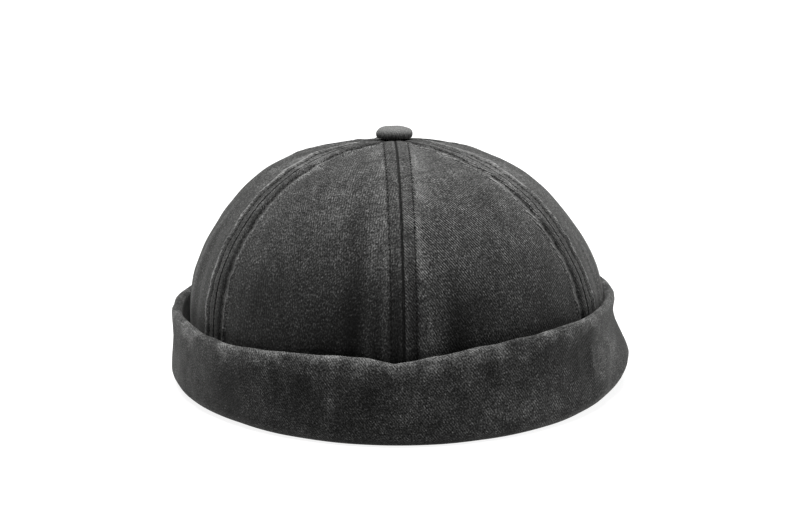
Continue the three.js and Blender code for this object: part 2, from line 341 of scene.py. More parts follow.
# Each side of each seam has a number of its own. It seeds the seam's puckers, and the numbers 50, 70
# and 90 above it seed its unevenness, patches and blots.
firstPhase = 100


def seamPhase(number, side):
    return firstPhase + 2 * (number % len(seams)) + (side < 0)


def shapeAt(phase):
    return seamShapes[seams[(phase - firstPhase) // 2]["shape"]]


def stitchDistance(halfWidth):
    return np.minimum(sewing["stitchOut"], sewing["stitchShare"] * halfWidth)


def seamRelief(distance, stitch, along, halfWidth, phase):
    s = shapeAt(phase)
    w = sewing
    narrow = np.clip(halfWidth / w["fullWidth"], w["narrowest"], 1)
    beyond = distance - stitch
    uneven = wavesOver(along, 0 * along, w["unevenLength"], phase + 50)
    lift = s["bandLift"] * (1 - smooth(beyond / (s["bandFall"] * narrow)))
    lift = lift - s["valleyDepth"] * narrow * (1 - smooth(distance / (s["valleyWidth"] * narrow)))
    groove = bell(beyond, s["grooveWidth"])
    lift = lift - s["grooveDepth"] * (1 + w["unevenGroove"] * uneven) * narrow * groove
    ridge = bell(beyond - s["ridgeOut"] * narrow, s["ridgeWidth"])
    lift = lift + s["ridgeLift"] * (1 - w["unevenRidge"] * uneven) * narrow * ridge
    gathered = wavesOver(along, w["puckerSlant"] * distance, w["puckerLength"], phase)
    return lift + w["pucker"] * narrow * gathered * bell(beyond - w["puckerOut"], w["puckerWidth"])


def softRelief(place):
    return sum(swell(place, field) for field in crown["swells"])


def seamWearAndShading(distance, stitch, along, phase, share):
    s = shapeAt(phase)
    w = seamWearAndShade
    beyond = distance - stitch
    patchy = w["patchLevel"] + w["patchSwing"] * wavesOver(along, 0 * along, w["patchLength"], phase + 70)
    blotted = 1 + w["blotSwing"] * wavesOver(along, 0 * along, w["blotLength"], phase + 90)
    number, before = divmod(phase - firstPhase, 2)
    ridge = s["ridgeWearAndHighlight"] * seams[number]["ridges"][1 - before]
    wornHere = w["ridgeAtTop"] + w["ridgeGain"] * smooth(share / w["ridgeReach"])
    # the ridges: wear with a painted highlight
    light = ridge * bell(beyond - s["ridgeOut"], s["ridgeWidth"]) * patchy * wornHere
    light = light + w["halo"] * bell(beyond - w["haloOut"], w["haloWidth"]) * (1 - w["haloLost"] * share)
    light = light + s["lightLip"] * bell(distance - w["lipOut"], w["lipWidth"]) * patchy
    # painted shade in the stitch grooves, and the band's own darker tone
    dark = (s["stitchShade"] * bell(beyond, s["stitchWidth"]) + s["darkBand"] * (beyond < 0)) * blotted
    # and painted shade along the seam's middle valley
    return light - dark - s["valleyShade"] * bell(distance, w["lineWidth"])


def heightFadeAndLight(height):
    w = fadingAndLight
    above = height - w["from"]
    # painted light just above the cuff, in its shadow
    foot = w["footGain"] * (1 - smooth(above / w["footReach"]))
    return w["gain"] * smooth(above / w["reach"]) - w["level"] + foot


def meshFrom(bm, name):
    mesh = bpy.data.meshes.new(name)
    bm.to_mesh(mesh)
    bm.free()
    return mesh


def readPlaces(mesh):
    places = np.empty(len(mesh.vertices) * 3)
    mesh.vertices.foreach_get("co", places)
    return places.reshape(-1, 3)


def writePlaces(mesh, places):
    mesh.vertices.foreach_set("co", (places * mm).astype(np.float32).ravel())
    mesh.update()


def addClothMap(mesh, across, along, wearAndShade, ribbed=1):
    # the cloth's own coordinates, how washed out it is and how much light and shade is painted on it, and
    # how clearly its wales show
    corners = np.empty(len(mesh.loops), dtype=np.int32)
    mesh.loops.foreach_get("vertex_index", corners)
    layer = mesh.uv_layers.new(name="cloth")
    values = np.stack([across, along], -1)[corners] * uvPerMm
    layer.data.foreach_set("uv", values.astype(np.float32).ravel())
    for name, amounts in (("wearAndShade", wearAndShade), ("ribbed", wearAndShade * 0 + ribbed)):
        worn = mesh.attributes.new(name, "FLOAT", "POINT")
        worn.data.foreach_set("value", amounts.astype(np.float32))


def addPiece(mesh, name, material, node=None):
    piece = bpy.data.objects.new(name, mesh)
    scene.collection.objects.link(piece)
    mesh.materials.append(material)
    mesh.shade_smooth()
    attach(piece, "root")
    if node:
        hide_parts(node)


# Small tools for materials
def setValues(target, values):
    for key, value in values.items():
        if isinstance(value, bpy.types.NodeSocket):
            target.id_data.links.new(value, target.inputs[key])
        else:
            target.inputs[key].default_value = value


def addNode(tree, kind, settings=None, **inputs):
    made = tree.nodes.new(kind)
    for key, value in (settings or {}).items():
        setattr(made, key, value)
    setValues(made, inputs)
    return made


def calc(tree, operation, first, second=0.0):
    made = tree.nodes.new("ShaderNodeMath")
    made.operation = operation
    setValues(made, {0: first, 1: second})
    return made.outputs[0]


oneBandPerMm = 2 * math.pi / 20  # the scale at which the wave texture repeats each mm
middleGrey = 0.5  # about the mean of each texture


# Washed twill: diagonal wales, yarn specks, slubs, mottling and each piece's attribute of wear and painted
# light and shade
def washedTwill(name, look):
    material = bpy.data.materials.new(name)
    material.use_nodes = True
    tree = material.node_tree

    def plus(first, second):
        return calc(tree, "ADD", first, second)

    def minus(first, second):
        return calc(tree, "SUBTRACT", first, second)

    def times(first, second):
        return calc(tree, "MULTIPLY", first, second)

    def mapped(source, **inputs):
        return addNode(tree, "ShaderNodeMapping", Vector=source, **inputs).outputs[0]

    def noise(source, scale, detail, roughness):
        made = addNode(tree, "ShaderNodeTexNoise", Vector=source, Scale=scale, Detail=detail,
                       Roughness=roughness)
        return made.outputs["Fac"]

    def attribute(key):
        return addNode(tree, "ShaderNodeAttribute", {"attribute_name": key}).outputs["Fac"]

    inMm = mapped(addNode(tree, "ShaderNodeUVMap", {"uv_map": "cloth"}).outputs[0], Scale=(1 / uvPerMm,) * 3)
    turned = mapped(inMm, Rotation=(0, 0, -math.radians(look["waleAngle"])))
    drawn = mapped(turned, Scale=look["streakScale"])
    bands = addNode(tree, "ShaderNodeTexWave", {"wave_type": "BANDS", "bands_direction": "X"}, Vector=turned,
                    Scale=oneBandPerMm / look["walePitch"], Distortion=look["waleDrift"], Detail=2.0)
    setValues(bands, {"Detail Scale": 1.3, "Detail Roughness": 0.6})
    wales = bands.outputs["Fac"]
    streak = noise(drawn, 1.0, 1.0, 0.5)
    speck = noise(mapped(inMm, Scale=look["speckScale"]), 1.0, 1.0, 0.6)
    cluster = noise(inMm, look["clusterScale"], 2.0, 0.6)
    place = addNode(tree, "ShaderNodeTexCoord").outputs["Object"]
    blotch = noise(place, look["blotchScale"], 3.0, 0.55)
    swirl = noise(place, look["swirlScale"], 2.0, 0.6)
    # wear, together with the light and shade painted on each piece
    wearAndShade = attribute("wearAndShade")
    ribbed = attribute("ribbed")
    patchy = plus(times(swirl, look["fadeSwirl"]), look["fadeLevel"])
    tone = times(times(wearAndShade, patchy), look["fadeGain"])
    # the wales show in patches
    shown = times(minus(swirl, look["waleFrom"]), look["waleContrast"])
    shown.node.use_clamp = True
    # strong wales would make the cloth paler as a whole, so that much is taken off again
    strength = times(times(ribbed, shown), look["waleGain"])
    tone = plus(tone, times(minus(wales, middleGrey), strength))
    tone = minus(tone, times(calc(tree, "POWER", strength, 2.0), look["waleOffset"]))
    grains = {"streakGain": streak, "speckGain": speck, "clusterGain": cluster,
              "blotchGain": blotch, "swirlGain": swirl}
    for key, grain in grains.items():
        tone = plus(tone, times(minus(grain, middleGrey), look[key]))
    # each unit of tone makes the cotton e times paler, and less so on the way to bare cotton
    dyed = times(calc(tree, "EXPONENT", tone), look["albedo"])
    pale = calc(tree, "DIVIDE", dyed, plus(calc(tree, "DIVIDE", dyed, look["bareCotton"]), 1.0))
    colour = addNode(tree, "ShaderNodeVectorMath", {"operation": "SCALE"}, Scale=pale)
    colour.inputs[0].default_value = look["tint"]
    height = plus(times(wales, look["waleHeight"]), times(speck, look["yarnHeight"]))
    height = plus(height, times(streak, look["yarnHeight"]))
    relief = addNode(tree, "ShaderNodeBump", Height=height, Strength=look["bump"],
                     Distance=look["bumpDistance"] * mm)
    rough = plus(look["roughness"], times(speck, look["roughSpecks"]))
    setValues(tree.nodes["Principled BSDF"], {
        "Base Color": colour.outputs[0], "Normal": relief.outputs[0], "Roughness": rough,
        "Specular IOR Level": look["gloss"], "Sheen Weight": look["sheen"],
        "Sheen Roughness": look["sheenRoughness"], "Sheen Tint": look["sheenTint"],
    })
    return material


twillLook = {
    "albedo": 0.0318, "bareCotton": 0.34, "tint": (1, 1, 0.985),
    "fadeGain": 2.1, "fadeSwirl": 1.2, "fadeLevel": 0.4,
    "waleAngle": 29, "walePitch": 0.98, "waleDrift": 1.8, "waleGain": 2.2,
    "waleFrom": 0.33, "waleContrast": 5.0, "waleOffset": 0.055,
    "speckScale": (1.6, 1.05, 1), "streakScale": (1.7, 1.05, 1),
    "clusterScale": 0.42, "blotchScale": 50.0, "swirlScale": 160.0,
    "streakGain": 3.8, "speckGain": 5.6, "clusterGain": 1.9, "blotchGain": 1.0, "swirlGain": 1.5,
    "bump": 0.6, "bumpDistance": 0.22, "waleHeight": 0.6, "yarnHeight": 0.8,
    "roughness": 0.86, "roughSpecks": 0.12, "gloss": 0.1,
    "sheen": 0.13, "sheenRoughness": 0.45, "sheenTint": (0.82, 0.82, 0.8, 1),
}
cuffLook = {
    **twillLook, "albedo": 0.0258, "waleAngle": 38, "walePitch": 0.85, "waleGain": 1.1,
    "speckScale": (1.5, 1.4, 1), "blotchGain": 2.0, "swirlGain": 2.2,
}
buttonLook = {
    **twillLook, "albedo": 0.227, "waleGain": 0, "speckScale": (2, 2, 1),
    "streakGain": 1.6, "speckGain": 3.6, "clusterGain": 0.5, "blotchGain": 0.3, "swirlGain": 0.4,
}
threadLook = {**twillLook, "albedo": 0.02, "waleGain": 0, "streakGain": 0, "speckGain": 0.8, "bump": 0.3}
crownTwill = washedTwill("washed_twill_crown", twillLook)
cuffTwill = washedTwill("washed_twill_cuff", cuffLook)
buttonTwill = washedTwill("washed_twill_button", buttonLook)
threadCotton = washedTwill("washed_thread", threadLook)
print("stage: materials made")


# How the panels are rubbed all over, in long streaks, and where their wales are lost towards the rim
panelWear = {
    "ribbedFade": 0.1, "rub": 0.07, "rubLength": 4.5, "rubStretch": 7,
    "walesAtTop": 1.35, "walesLost": 0.9, "lostFrom": 0.42, "lostReach": 0.26,
}


def panelSlab(name):
    # squares from -1 to 1, with the face on top and the inside one unit below it
    bm = bmesh.new()
    bmesh.ops.create_grid(bm, x_segments=crown["columns"], y_segments=crown["rows"], size=1)
    skin = bmesh.ops.extrude_face_region(bm, geom=bm.faces[:], use_keep_orig=True)
    under = [item for item in skin["geom"] if isinstance(item, bmesh.types.BMVert)]
    bmesh.ops.translate(bm, verts=under, vec=(0, 0, -1))
    bmesh.ops.recalc_face_normals(bm, faces=bm.faces[:])
    return meshFrom(bm, name)


# Crown panels: each slab is laid over its panel's share of the dome
def buildPanel(index):
    first = seams[index]
    name = first["panel"] + "_twill"
    mesh = panelSlab(name)
    slab = readPlaces(mesh)
    share = lerp(1, crown["tipShare"], (slab[:, 1] + 1) / 2)
    towardsLast = slab[:, 0] > 0
    inwards = 1 - np.abs(slab[:, 0])
    firstAt = seamAzimuth(first, share)
    span = panelSpan(index, share)
    edge = np.where(towardsLast, firstAt + span, firstAt)
    scale = mmPerDegree(edge, share)
    halfWidth = scale * span / 2
    # most columns lie beside the seams, where the relief is finest
    fine = np.minimum(sewing["finelySpaced"], sewing["finestShare"] * halfWidth)
    split = sewing["fineShare"]
    distance = np.where(inwards < split, fine * inwards / split,
                        lerp(fine, halfWidth, (inwards - split) / (1 - split)))
    azimuth = edge + np.where(towardsLast, -1, 1) * distance / scale
    base = crownPoint(azimuth, share)
    along = alongPanel(index, share)
    stitch = stitchDistance(halfWidth)
    forms = tableSum(crownForms, azimuth, share) + softRelief(base)
    relief = 0 * share
    wearAndShade = 0 * share
    for number, side, here in ((index, 1, ~towardsLast), (index + 1, -1, towardsLast)):
        phase = seamPhase(number, side)
        relief[here] = seamRelief(distance[here], stitch[here], along[here], halfWidth[here], phase)
        wearAndShade[here] = seamWearAndShading(distance[here], stitch[here], along[here], phase, share[here])
    pressed = 1 - smooth((distance - stitch - sewing["allowanceOut"]) / sewing["allowanceFall"])
    inner = forms - crown["wall"] - sewing["allowance"] * pressed
    inner = inner + sewing["insideLine"] * bell(distance, sewing["insideLineWidth"])
    lift = np.where(slab[:, 2] < -0.5, inner, forms + relief)
    writePlaces(mesh, base + crownNormal(azimuth, share) * lift[:, None])
    middle = panelMiddle(index)
    across = (azimuth - middle) * mmPerDegree(middle, share)
    w = panelWear
    wearAndShade = wearAndShade + tableSum(crownMarksAndShade, azimuth, share) + heightFadeAndLight(base[:, 2])
    rubbed = w["rub"] * wavesOver(across, along / w["rubStretch"], w["rubLength"], 60 + index)
    wearAndShade = wearAndShade + w["ribbedFade"] * first["ribbed"] + rubbed
    lost = w["walesLost"] * smooth((share - w["lostFrom"]) / w["lostReach"])
    ribbed = first["ribbed"] * (w["walesAtTop"] - lost)
    cut = math.radians(first["cut"])  # how far the panel is turned on the cloth
    acrossCloth = across * math.cos(cut) - along * math.sin(cut)
    alongCloth = across * math.sin(cut) + along * math.cos(cut)
    addClothMap(mesh, acrossCloth, alongCloth, wearAndShade, ribbed)
    addPiece(mesh, name, crownTwill, first["panel"])


for index in range(len(seams)):
    buildPanel(index)
print("stage: crown panels sewn")

# Cuff: turned up outside the crown, with its profile taken round the head by the table below
cuff = {
    "height": 36.0, "standOff": 2.5, "belly": 1.5, "foldHollow": 1.0, "rimHollow": 2.1, "wall": 1.5,
    "roll": 3.5, "tuck": 2.4, "hemHeight": 5.0, "gap": 0.3, "footInside": 2.4, "formsFrom": 6,
    "notchAzimuth": -3.6, "notchDepth": 1.0, "notchReach": 2.4, "notchIn": 0.5,
    "outSway": (0.3, 24, 31), "foldSway": (0.22, 15, 32), "wallSwells": [(0.2, 17, 33), (0.06, 7, 34)],
    "stations": 560, "footRows": 6, "rollRows": 18, "wallRows": 46, "foldRows": 22,
}

# It is palest on the fold, in a ragged edge, and has painted shade at the rim, low on the wall and on its
# hidden inside
cuffWearAndShade = {
    "edge": 0.52, "edgeRow": 8, "edgeWidth": 5.2, "edgeLevel": 0.85, "edgeSwell": (0.35, 12, 35),
    "ragged": (2.0, 8, 36), "raggedFrom": 4,
    "rimShade": 0.9, "rimReach": 3, "lowShade": 0.12, "hiddenShade": 0.9,
}

# height, standOff, hollow, roll and belly are shares of the cuff's own
cuffSections = [
    {"azimuth": -180, "height": 0.98, "standOff": 1, "hollow": 1, "roll": 1, "belly": 0.3},
    {"azimuth": -140, "height": 0.92, "standOff": 1.05, "hollow": 0.9, "roll": 1, "belly": 0},
    {"azimuth": -105, "height": 0.88, "standOff": 1.3, "hollow": 0.6, "roll": 2, "belly": -0.1},
    {"azimuth": -78, "height": 0.91, "standOff": 1.26, "hollow": 0.4, "roll": 3, "belly": -0.2},
    {"azimuth": -54, "height": 0.885, "standOff": 1, "hollow": 0.3, "roll": 2.6, "belly": 0.4},
    {"azimuth": -31, "height": 0.95, "standOff": 0.9, "hollow": 0.6, "roll": 1.4, "belly": 0.5},
    {"azimuth": -13, "height": 0.975, "standOff": 1, "hollow": 1.1, "roll": 1, "belly": 0.3},
    {"azimuth": -3, "height": 0.92, "standOff": 0.75, "hollow": 1.25, "roll": 1, "belly": 0.1},
    {"azimuth": 7, "height": 0.985, "standOff": 0.95, "hollow": 1.2, "roll": 1, "belly": 0.4},
    {"azimuth": 20, "height": 1.06, "standOff": 1, "hollow": 0.8, "roll": 1.2, "belly": 0.3},
    {"azimuth": 40, "height": 1.095, "standOff": 0.9, "hollow": 0.4, "roll": 1.6, "belly": 0.1},
    {"azimuth": 66, "height": 1.08, "standOff": 0.6, "hollow": 0.8, "roll": 3.6, "belly": -0.6},
    {"azimuth": 90, "height": 1.055, "standOff": 0.55, "hollow": 2.5, "roll": 5.2, "belly": -1.3},
    {"azimuth": 122, "height": 0.98, "standOff": 0.8, "hollow": 1.6, "roll": 1.7, "belly": -0.3},
    {"azimuth": 152, "height": 0.97, "standOff": 1.05, "hollow": 1, "roll": 1, "belly": 0.2},
]

# Soft creases in the cuff's wall, as (azimuth, reach, from, to, lift) between rim (0) and fold (1)
cuffForms = [
    (57.5, 2.2, -0.1, 0.85, 0.35),
    (53.5, 4, -0.1, 1.05, -0.5),
    (-19, 3, 0, 1, 0.25),
    (-25, 4, 0.2, 1, -0.3),
    (-9, 4, 0, 1, -0.3),
    (21, 3.5, 0.2, 1.1, -0.3),
    (30, 5, 0, 0.9, 0.2),
    (38, 4, 0.3, 1.1, -0.25),
    (-42, 4, 0.2, 1, -0.3),
    (-66, 6, 0, 1, -0.25),
    (75, 5, 0, 1, -0.3),
    (118, 5, 0, 1, -0.4),
    (165, 4, 0, 1, -0.4),
    (203, 5, 0, 1, -0.35),
    (246, 5, 0, 1, -0.35),
]

# Pale and dark marks on the cuff, as (azimuth, reach, from, to, paling): partly worn streaks of the cloth,
# partly painted light and shade, with highlights on ridges, shade in creases, light on the right end and
# shade over the front left
cuffMarksAndShade = [
    (-19, 2.6, 0.02, 1.05, 0.3),
    (-40, 2.5, 0.1, 0.9, 0.16),
    (-60, 5, 0, 1, 0.14),
    (1, 4.5, 0.1, 1, 0.14),
    (24, 2.5, 0.1, 1, 0.16),
    (39.5, 3, 0, 0.6, 0.16),
    (57.6, 1.2, 0, 0.9, 0.3),
    # painted light on the right end, and painted shade over the front left below
    (70, 15, -0.5, 1.3, 0.42),
    (-25, 42, -0.2, 1.1, -0.15),
    (32, 16, -0.4, 0.6, 0.12),
    (-1, 7, 0.9, 1.2, 0.16),
    (3, 10, 0.84, 1.2, 0.24),
    (40, 30, 0.84, 1.3, 0.15),
    (-72, 9, 0.6, 1.2, 0.2),
    (18, 8, -0.3, 0.5, 0.12),
    (42, 8, -0.2, 0.6, 0.12),
    (-46, 12, 0.1, 1, -0.16),
    (-27, 10, 0, 1, -0.14),
    (-6, 6, 0.2, 0.9, -0.1),
    (-26.5, 4, 0.35, 0.95, -0.4),
    (-42, 4, 0.55, 1, -0.22),
    (-9, 4.5, 0.3, 0.95, -0.3),
    (-13, 6, -0.1, 0.4, -0.26),
    (21, 2.6, 0.45, 1.1, -0.28),
    (36, 4.5, 0.5, 1.05, -0.28),
    (51, 6.5, 0.1, 1.1, -0.34),
    (15.5, 3, -0.1, 0.3, -0.22),
    (-73, 5, 0, 0.5, -0.14),
    (-50, 5, 0, 0.8, -0.16),
    (26, 14, -0.1, 0.64, 0.18),
    (68, 14, -0.3, 0.85, 0.2),
    (-20, 3, 0.05, 0.6, 0.22),
    (-45, 4, 0.1, 0.8, -0.18),
    (-73, 7, -0.1, 0.5, -0.18),
    (-71, 13, 0.58, 1.25, 0.26),
    (48, 4, 0.2, 0.9, -0.16),
    (38, 9, -0.1, 0.62, 0.18),
    (60, 5, 0, 0.5, 0.22),
    (22, 6, -0.1, 0.45, 0.12),
    (-20, 3, -0.1, 0.5, 0.15),
    (-20, 34, 0.8, 1.3, 0.17),
    (112, 7, 0, 1, -0.26),
    (140, 6, 0, 1, 0.16),
    (172, 7, 0.1, 1, -0.26),
    (196, 5, 0, 1, 0.16),
    (222, 7, 0, 0.9, -0.26),
    (252, 6, 0, 1, 0.14),
]


def cuffValue(azimuth, key):
    # between two rows of the table, which the rows on either side bend a little
    places = np.array([row["azimuth"] for row in cuffSections], dtype=float)
    values = np.array([row[key] for row in cuffSections], dtype=float)
    count = len(places)
    turn = turnBetween(azimuth, 0)
    i = np.searchsorted(places, turn, side="right") - 1
    start = places[i]
    span = (places[(i + 1) % count] - start) % 360
    t = (turn - start) / span
    a, b, c, d = (values[(i + k) % count] for k in (-1, 0, 1, 2))
    lean = ((c - a) * (1 - t) - (d - b) * t) / 2
    return lerp(b, c, smooth(t)) + 0.35 * t * (1 - t) * lean


def cuffProfile(azimuth):
    # one column of (out, up, wall share) for each stretch of the cuff's outline, at every azimuth
    c = cuff
    a = azimuth[:, None]
    hemOut = crown["rimFlare"] + pressedSeam["bandLift"] + c["gap"]
    hemOuter = hemOut + c["wall"]
    footIn = crown["rimFlare"] - c["footInside"]
    radius = c["wall"] + c["foldHollow"] / 2
    ring = planPoint(a, 0.0)
    bottomOut = hemOuter + c["rimHollow"] * cuffValue(a, "hollow") + c["wall"]
    roll = c["wall"] + (c["roll"] - c["wall"]) * cuffValue(a, "roll")
    rollOut = np.minimum(roll, bottomOut - hemOut + c["tuck"])
    footOut = np.maximum(bottomOut - rollOut, hemOut)
    belly = c["belly"] * cuffValue(a, "belly")
    fromNotch = np.abs(turnBetween(a, c["notchAzimuth"]))
    notch = np.exp(-fromNotch / c["notchReach"])
    foldUp = c["height"] * cuffValue(a, "height") - radius - c["notchDepth"] * notch
    foldUp = foldUp + swell(ring, c["foldSway"])
    topOut = c["standOff"] * cuffValue(a, "standOff") + 2 * radius + swell(ring, c["outSway"])
    topOut = topOut - c["notchIn"] * notch

    def straight(fromOut, fromUp, toOut, toUp, count):
        t = np.linspace(0, 1, count, endpoint=False)
        return lerp(fromOut, toOut, t) + 0 * a, lerp(fromUp, toUp, t) + 0 * a, np.zeros(count) + 0 * a

    def arc(out, up, across, high, start, end, count, share):
        angle = np.radians(np.linspace(start, end, count, endpoint=False))
        return out + across * np.cos(angle), up + high * np.sin(angle), np.full(count, share) + 0 * a

    def wall(start, end, inset, count):
        t = np.linspace(start, end, count, endpoint=False) + 0 * a
        out = lerp(bottomOut, topOut, smooth(t)) + belly * np.sin(math.pi * t) - inset
        return out, lerp(roll, foldUp, t), t

    # from the foot under the crown's edge, outside and over the fold, to the hem, and back inside,
    # where few rows are enough
    thin = c["wall"]
    stretches = [
        straight(footIn, 0, bottomOut - rollOut, 0, c["footRows"]),
        arc(bottomOut - rollOut, roll, rollOut, roll, -90, 0, c["rollRows"], 0),
        wall(0, 1, 0, c["wallRows"]),
        arc(topOut - radius, foldUp, radius, radius, 0, 180, c["foldRows"], 1),
        straight(topOut - 2 * radius, foldUp, hemOut, c["hemHeight"], 16),
        straight(hemOut, c["hemHeight"], hemOuter, c["hemHeight"], 3),
        straight(hemOuter, c["hemHeight"], topOut - 2 * radius + thin, foldUp, 8),
        arc(topOut - radius, foldUp, radius - thin, radius - thin, 180, 0, 6, 1),
        wall(1, 0, thin, 10),
        arc(footOut, roll, bottomOut - thin - footOut, roll - thin, 0, -90, 6, 0),
        straight(footOut, thin, footIn, thin, 3),
        straight(footIn, thin, footIn, 0, 2),
    ]
    return (np.concatenate([stretch[k] for stretch in stretches], axis=1) for k in range(3))


def buildCuff():
    c = cuff
    w = cuffWearAndShade
    stations = c["stations"]
    azimuth = np.arange(stations) * 360 / stations
    out, up, wallShare = cuffProfile(azimuth)
    count = out.shape[1]
    foldStart = c["footRows"] + c["rollRows"] + c["wallRows"]
    outer = np.zeros(count)
    outer[c["footRows"]:foldStart + c["foldRows"]] = 1
    bm = bmesh.new()
    bmesh.ops.create_grid(bm, x_segments=stations, y_segments=count, size=1)
    mesh = meshFrom(bm, "cuff_sheet")
    slab = readPlaces(mesh)
    i = np.rint((slab[:, 0] + 1) / 2 * stations).astype(int)
    j = np.rint((slab[:, 1] + 1) / 2 * count).astype(int)
    at = (i % stations, j % count)
    turn = azimuth[at[0]]
    height = up[at]
    share = wallShare[at]
    shown = outer[at[1]]
    normal = planNormal(turn)
    place = planPoint(turn, 0.0) + normal * out[at][:, None]
    place[:, 2] = height
    relief = tableSum(cuffForms, turn, share)
    for field in c["wallSwells"]:
        relief = relief + swell(place, field)
    relief = relief * shown * smooth(height / c["formsFrom"])
    place = place + normal * relief[:, None]
    writePlaces(mesh, place)
    stepOut = np.diff(out, axis=1, append=out[:, :1])
    stepUp = np.diff(up, axis=1, append=up[:, :1])
    lengths = np.concatenate([[0], np.cumsum(np.hypot(stepOut, stepUp).mean(axis=0))])
    fromFold = lengths[j] - lengths[foldStart + w["edgeRow"]]
    ragged = fromFold + swell(place, w["ragged"]) * smooth(np.abs(fromFold) / w["raggedFrom"])
    wearAndShade = w["edge"] * bell(ragged, w["edgeWidth"]) * (w["edgeLevel"] + swell(place, w["edgeSwell"])) * shown
    wearAndShade = wearAndShade + tableSum(cuffMarksAndShade, turn, share) * shown
    # painted shade at the rim, low on the wall and on the hidden inside
    wearAndShade = wearAndShade - w["rimShade"] * (1 - smooth(height / w["rimReach"]))
    wearAndShade = wearAndShade - w["lowShade"] * (1 - share) - w["hiddenShade"] * (1 - shown)
    around = np.radians(1) * (crown["halfWidth"] + crown["halfDepth"]) / 2
    addClothMap(mesh, i * 360 / stations * around, lengths[j], wearAndShade)
    # the sheet's first and last rows and columns are joined
    bm = bmesh.new()
    bm.from_mesh(mesh)
    bmesh.ops.remove_doubles(bm, verts=bm.verts[:], dist=0.01 * mm)
    bmesh.ops.recalc_face_normals(bm, faces=bm.faces[:])
    bm.to_mesh(mesh)
    bm.free()
    addPiece(mesh, "turned_up_cuff_twill", cuffTwill, "turned_up_cuff")


buildCuff()
print("stage: cuff turned up")

# Covered button, standing on the leaning top of the crown, with its shank and inside plate
button = {
    "radius": 7.5, "height": 4.9, "underside": 0.9, "shank": 1.8,
    "plateRadius": 5.5, "plateThickness": 0.8, "plateDepth": 2.9, "sides": 96,
    "dome": [
        (0.0, 1.0), (0.2, 0.995), (0.4, 0.975), (0.55, 0.94), (0.68, 0.89), (0.79, 0.825), (0.88, 0.74),
        (0.945, 0.63), (0.985, 0.5), (1.0, 0.38), (1.0, 0.28), (0.985, 0.17), (0.95, 0.08), (0.9, 0.025),
        (0.84, 0.0),
    ],
    "gathers": 18, "gatherDepth": 0.05, "gatherFrom": 0.55, "gatherReach": 0.4, "gatherDrift": 0.8,
    "swell": (0.08, 5, 51),
    "pale": 0.12, "underDark": 0.95, "darkFrom": 0.2, "darkReach": 3.4, "clothSlant": 0.7,
}


def buildButton():
    b = button
    plateTop = -b["plateDepth"]
    plateUnder = plateTop - b["plateThickness"]
    outline = [(out * b["radius"], b["underside"] + up * b["height"]) for out, up in b["dome"]]
    outline += [(b["shank"], b["underside"]), (b["shank"], plateTop), (b["plateRadius"], plateTop)]
    outline += [(b["plateRadius"], plateUnder), (0, plateUnder)]
    bm = bmesh.new()
    verts = [bm.verts.new((out, 0, up)) for out, up in outline]
    edges = [bm.edges.new(pair) for pair in zip(verts, verts[1:])]
    bmesh.ops.subdivide_edges(bm, edges=edges[:len(b["dome"]) - 1], cuts=2)
    bmesh.ops.spin(bm, geom=bm.verts[:] + bm.edges[:], cent=(0, 0, 0), axis=(0, 0, 1),
                   angle=2 * math.pi, steps=b["sides"], use_merge=True)
    bmesh.ops.remove_doubles(bm, verts=bm.verts[:], dist=0.001)
    bmesh.ops.recalc_face_normals(bm, faces=bm.faces[:])
    mesh = meshFrom(bm, "top_button_twill")
    local = readPlaces(mesh)
    radius = np.hypot(local[:, 0], local[:, 1])
    turn = np.arctan2(local[:, 1], local[:, 0])
    height = local[:, 2]
    side = smooth((radius / b["radius"] - b["gatherFrom"]) / b["gatherReach"])
    side = side * (height > b["underside"] - 0.01)
    gather = b["gatherDepth"] * np.sin(b["gathers"] * turn + b["gatherDrift"] * np.sin(3 * turn)) * side
    soft = swell(local, b["swell"]) * (height > b["underside"] + 0.3)
    stretch = 1 + (gather + soft) / np.maximum(radius, 1)
    local = np.stack([local[:, 0] * stretch, local[:, 1] * stretch, height + soft], -1)
    lean = math.radians(crown["tilt"])
    y = local[:, 1] * math.cos(lean) + local[:, 2] * math.sin(lean)
    z = local[:, 2] * math.cos(lean) - local[:, 1] * math.sin(lean)
    writePlaces(mesh, np.stack([local[:, 0], y, z], -1) + crownPoint(0.0, 0.0))
    shaded = 1 - smooth((height - b["underside"] - b["darkFrom"]) / b["darkReach"])
    wearAndShade = b["pale"] - b["underDark"] * shaded
    addClothMap(mesh, local[:, 0], local[:, 1] + b["clothSlant"] * height, wearAndShade)
    addPiece(mesh, "top_button_twill", buttonTwill, "top_button")


buildButton()
print("stage: button covered")

# Topstitching: two rows beside each seam, sunk in their grooves
stitching = {
    "pitch": 2.4, "length": 1.7, "width": 0.4, "height": 0.34, "sink": 0.06,
    "fromShare": 0.06, "toShare": 0.985, "holeWidth": 0.8, "holeShade": -1.6, "threadFade": 0.25,
}


def stitchPath(number, side):
    # the line of one row, with the cloth's outward direction along it
    share = np.linspace(stitching["fromShare"], stitching["toShare"], 400)
    panel = number if side > 0 else number - 1
    edge = seamAzimuth(seams[number], share)
    scale = mmPerDegree(edge, share)
    halfWidth = scale * panelSpan(panel, share) / 2
    stitch = stitchDistance(halfWidth)
    azimuth = edge + side * stitch / scale
    base = crownPoint(azimuth, share)
    normal = crownNormal(azimuth, share)
    along = alongPanel(panel, share)
    lift = tableSum(crownForms, azimuth, share) + softRelief(base)
    lift = lift + seamRelief(stitch, stitch, along, halfWidth, seamPhase(number, side)) - stitching["sink"]
    return base + normal * lift[:, None], normal


